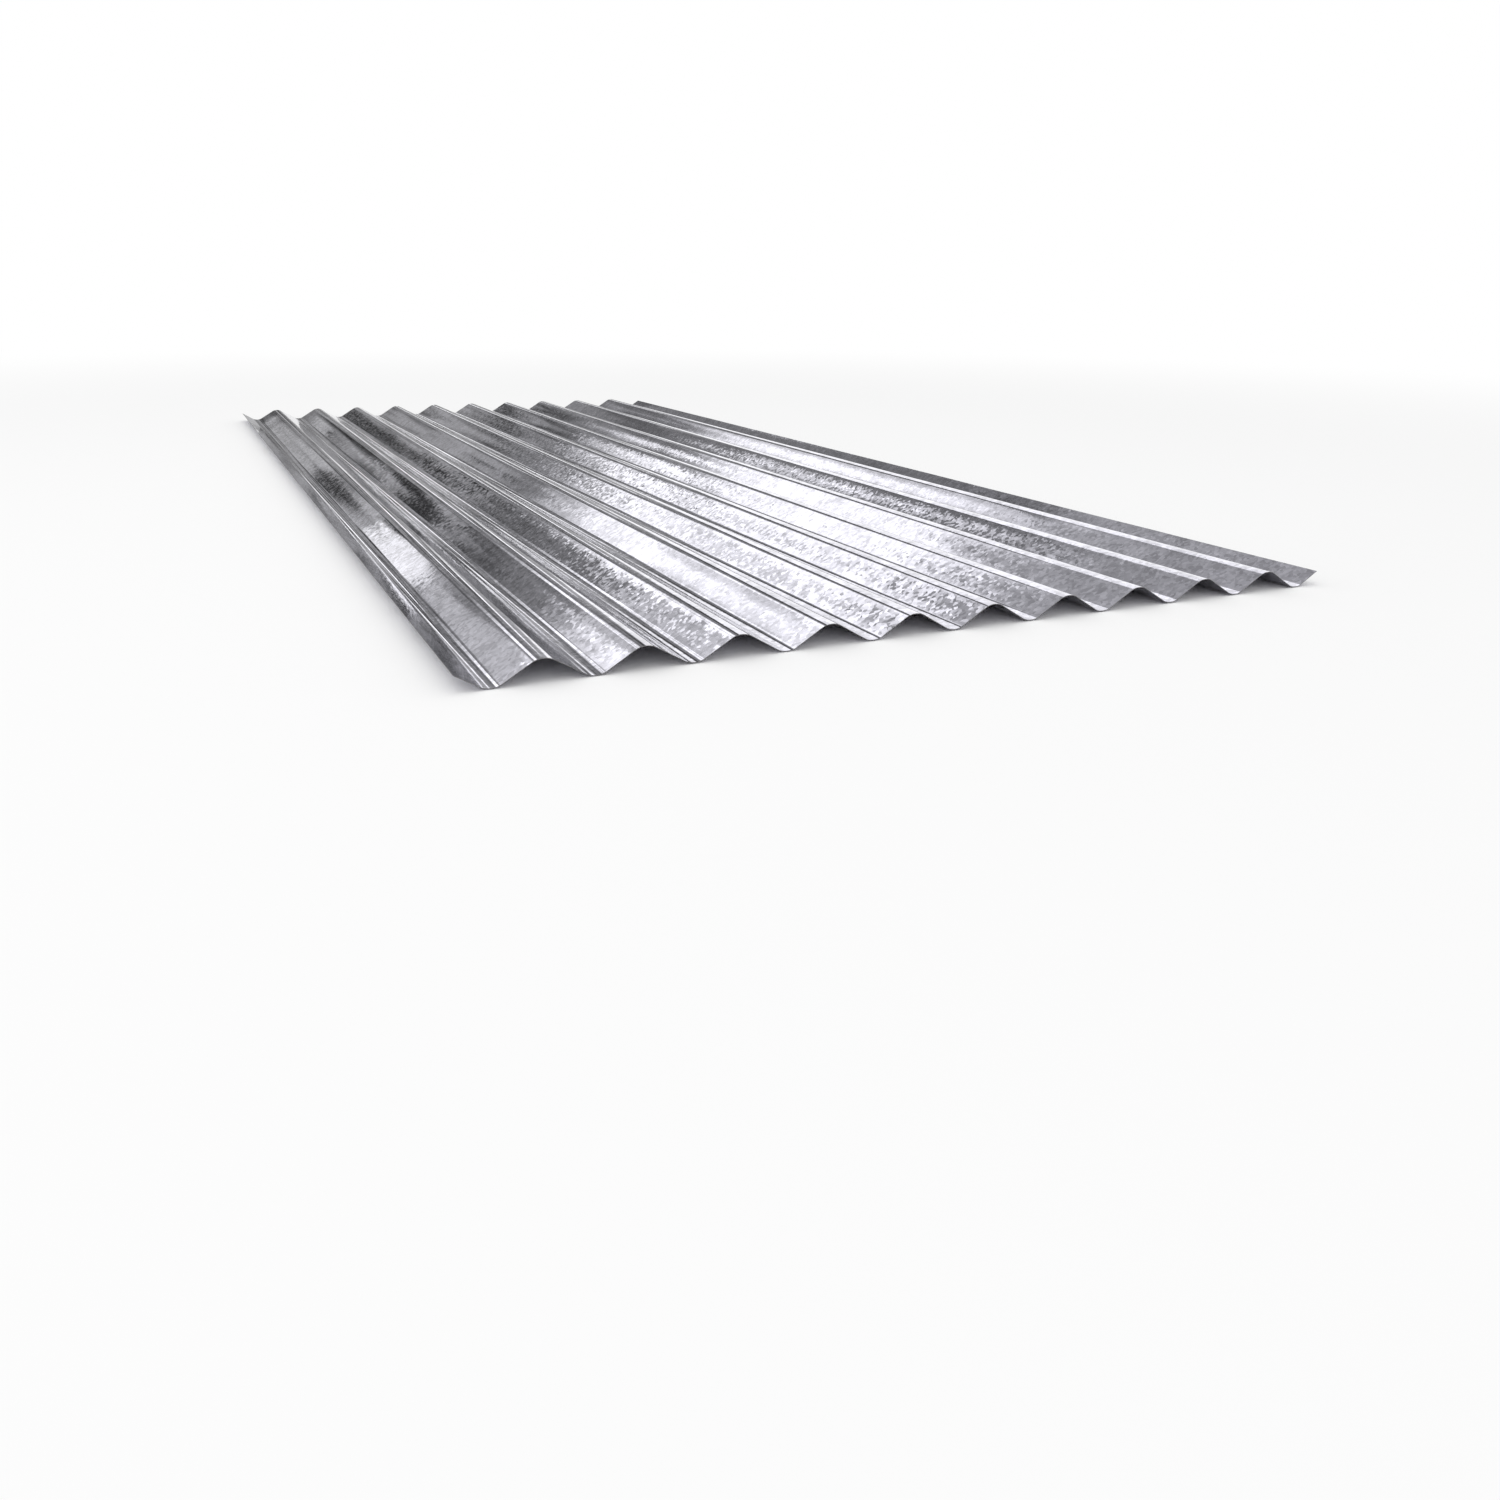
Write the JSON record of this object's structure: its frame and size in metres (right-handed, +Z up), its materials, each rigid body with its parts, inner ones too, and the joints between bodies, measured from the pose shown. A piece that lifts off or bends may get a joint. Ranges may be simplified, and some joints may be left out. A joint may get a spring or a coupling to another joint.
{
  "type": "corrugated metal sheet",
  "caption": "Galvanised steel roofing sheet with round-topped corrugations along its length and an upturned lip on each long edge, lapped and fixed through its crests.",
  "frame": {"origin": "under the middle of the sheet, on the plane that the undersides of its valleys rest on", "axes": "+Y along the corrugations, +X across them, +Z up out of the sheet's top face"},
  "size_m": [0.8122, 1.829, 0.0185],
  "materials": {
    "zinc": "hot-dip galvanised steel with a fine spangle"
  },
  "bodies": {
    "root": {"corrugated_sheet": "zinc"}
  },
  "joints": []
}
